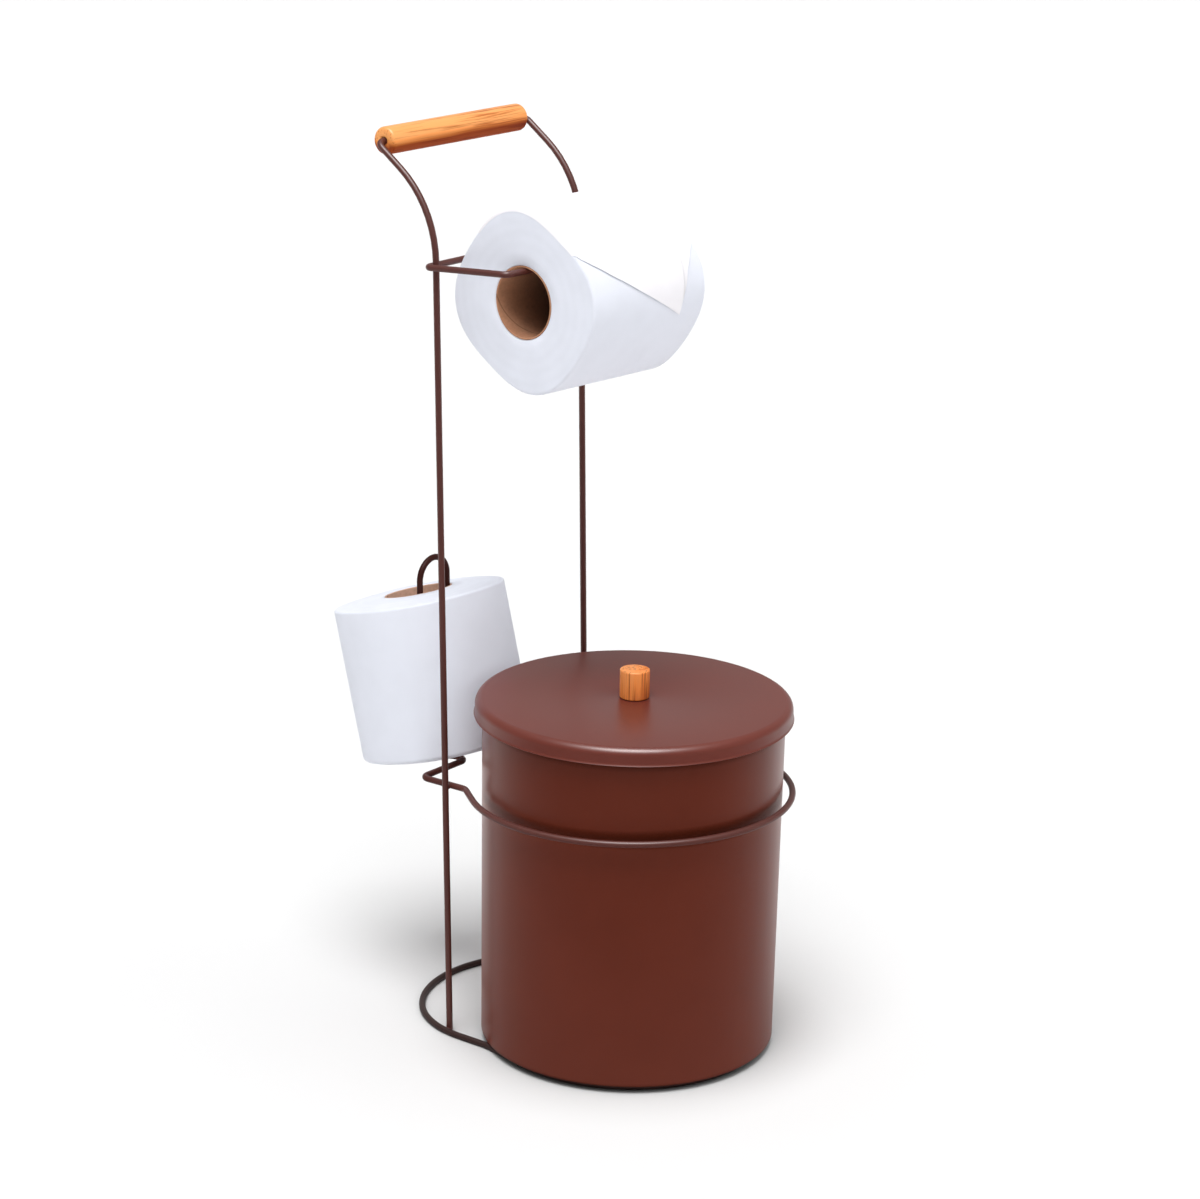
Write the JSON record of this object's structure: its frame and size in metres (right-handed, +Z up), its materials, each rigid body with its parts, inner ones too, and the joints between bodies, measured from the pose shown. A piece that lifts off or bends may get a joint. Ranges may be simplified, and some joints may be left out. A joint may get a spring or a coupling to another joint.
{
  "type": "free-standing toilet paper holder with bin",
  "caption": "Free-standing bent-wire toilet paper holder with a wooden carrying grip, an open roll bar, a spare-roll post and a lidded round sheet-metal bin at its foot.",
  "frame": {"origin": "on the floor, under the middle of the holder's whole width and depth", "axes": "+Z up, -Y to the front where the bin stands, +X to the side the roll bar's free end points to"},
  "size_m": [0.2044, 0.3256, 0.5661],
  "materials": {
    "enamel": "satin dark-brown powder coat",
    "wood": "turned, oiled, fine straight grain",
    "zinc": "zinc plated",
    "card": "plain grey-brown card",
    "tissue": "soft white tissue"
  },
  "bodies": {
    "stand": {"base_ring": "enamel", "uprights": "enamel", "hoop_and_post": "enamel", "roll_arm": "enamel"},
    "grip_body": {"grip": "wood"},
    "bin": {"bin_wall": "enamel", "bin_floor": "enamel"},
    "lid_body": {"lid": "enamel", "lid_knob": "wood", "knob_screw": "zinc", "knob_washer": "zinc"},
    "roll": {"roll_core": "card", "roll_paper": "tissue", "roll_tail": "tissue"},
    "spare_roll": {"spare_core": "card", "spare_paper": "tissue"}
  },
  "joints": [
    {"name": "grip_spin", "type": "hinge", "parent": "stand", "child": "grip_body", "pos_m": [0, 0.08721, 0.5576], "axis": [1, 0, 0], "continuous": true},
    {"name": "bin_lift", "type": "slide", "parent": "stand", "child": "bin", "axis": [0, 0, 1], "range_m": [0, 0.1645]},
    {"name": "lid_lift", "type": "slide", "parent": "bin", "child": "lid_body", "axis": [0, 0, 1], "range_m": [0, 0.0115]},
    {"name": "roll_spin", "type": "hinge", "parent": "stand", "child": "roll", "pos_m": [-0.01012, -0.02143, 0.4737], "axis": [0.9976, -0.0698, 0], "continuous": true},
    {"name": "spare_lift", "type": "slide", "parent": "stand", "child": "spare_roll", "axis": [0, 0.0698, 0.9976], "range_m": [0, 0.135]}
  ]
}
